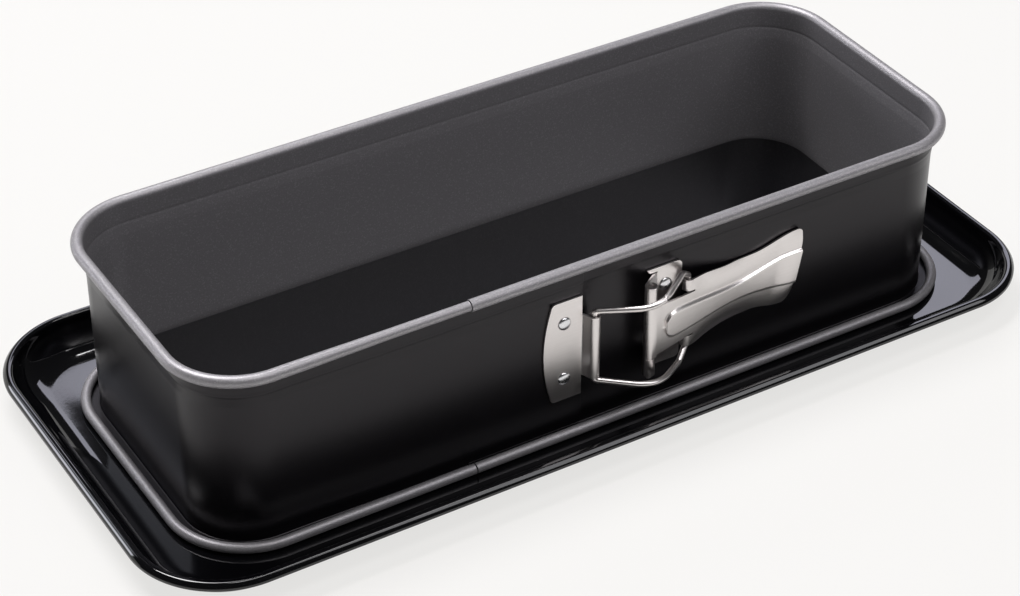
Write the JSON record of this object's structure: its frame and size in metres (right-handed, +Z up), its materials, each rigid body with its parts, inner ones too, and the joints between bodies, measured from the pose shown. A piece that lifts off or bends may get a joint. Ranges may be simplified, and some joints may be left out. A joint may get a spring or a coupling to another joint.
{
  "type": "springform loaf pan",
  "caption": "Rectangular springform loaf pan: a rolled-edge steel ring closed by an over-centre latch stands loose on an enamelled drip tray with a raised floor.",
  "frame": {"origin": "middle of the tray's underside, on the surface that the pan stands on", "axes": "+X along the pan's length, +Y from the latch side to the back, +Z up"},
  "size_m": [0.3566, 0.1666, 0.0718],
  "materials": {
    "enamel": "gloss black enamel",
    "nonstick_coat": "satin dark non-stick coat",
    "plated_steel": "satin nickel plate",
    "rivet_metal": "bright"
  },
  "bodies": {
    "base": {"base_tray": "enamel"},
    "ring": {"ring_wall": "nonstick_coat", "keeper_plate": "plated_steel", "keeper_rivet_upper": "rivet_metal", "keeper_rivet_lower": "rivet_metal", "hinge_bracket": "plated_steel", "hinge_pin": "plated_steel", "bracket_rivet_upper": "rivet_metal", "bracket_rivet_lower": "rivet_metal"},
    "lever": {"latch_lever": "plated_steel"},
    "bail": {"latch_bail": "plated_steel"}
  },
  "joints": [
    {"name": "ring_lift", "type": "slide", "parent": "base", "child": "ring", "axis": [0, 0, 1], "range_m": [0, 0.08]},
    {"name": "lever_swing", "type": "hinge", "parent": "ring", "child": "lever", "pos_m": [0.0136, -0.0621, 0.03655], "axis": [0, 0, -1], "range_deg": [0, 165]},
    {"name": "bail_swing", "type": "hinge", "parent": "ring", "child": "bail", "pos_m": [-0.0076, -0.0597, 0.03655], "axis": [0, 0, -1], "range_deg": [0, 16.5]}
  ],
  "couplings": [
    {"joint": "bail_swing", "follows": "lever_swing", "ratio": 0.1}
  ]
}
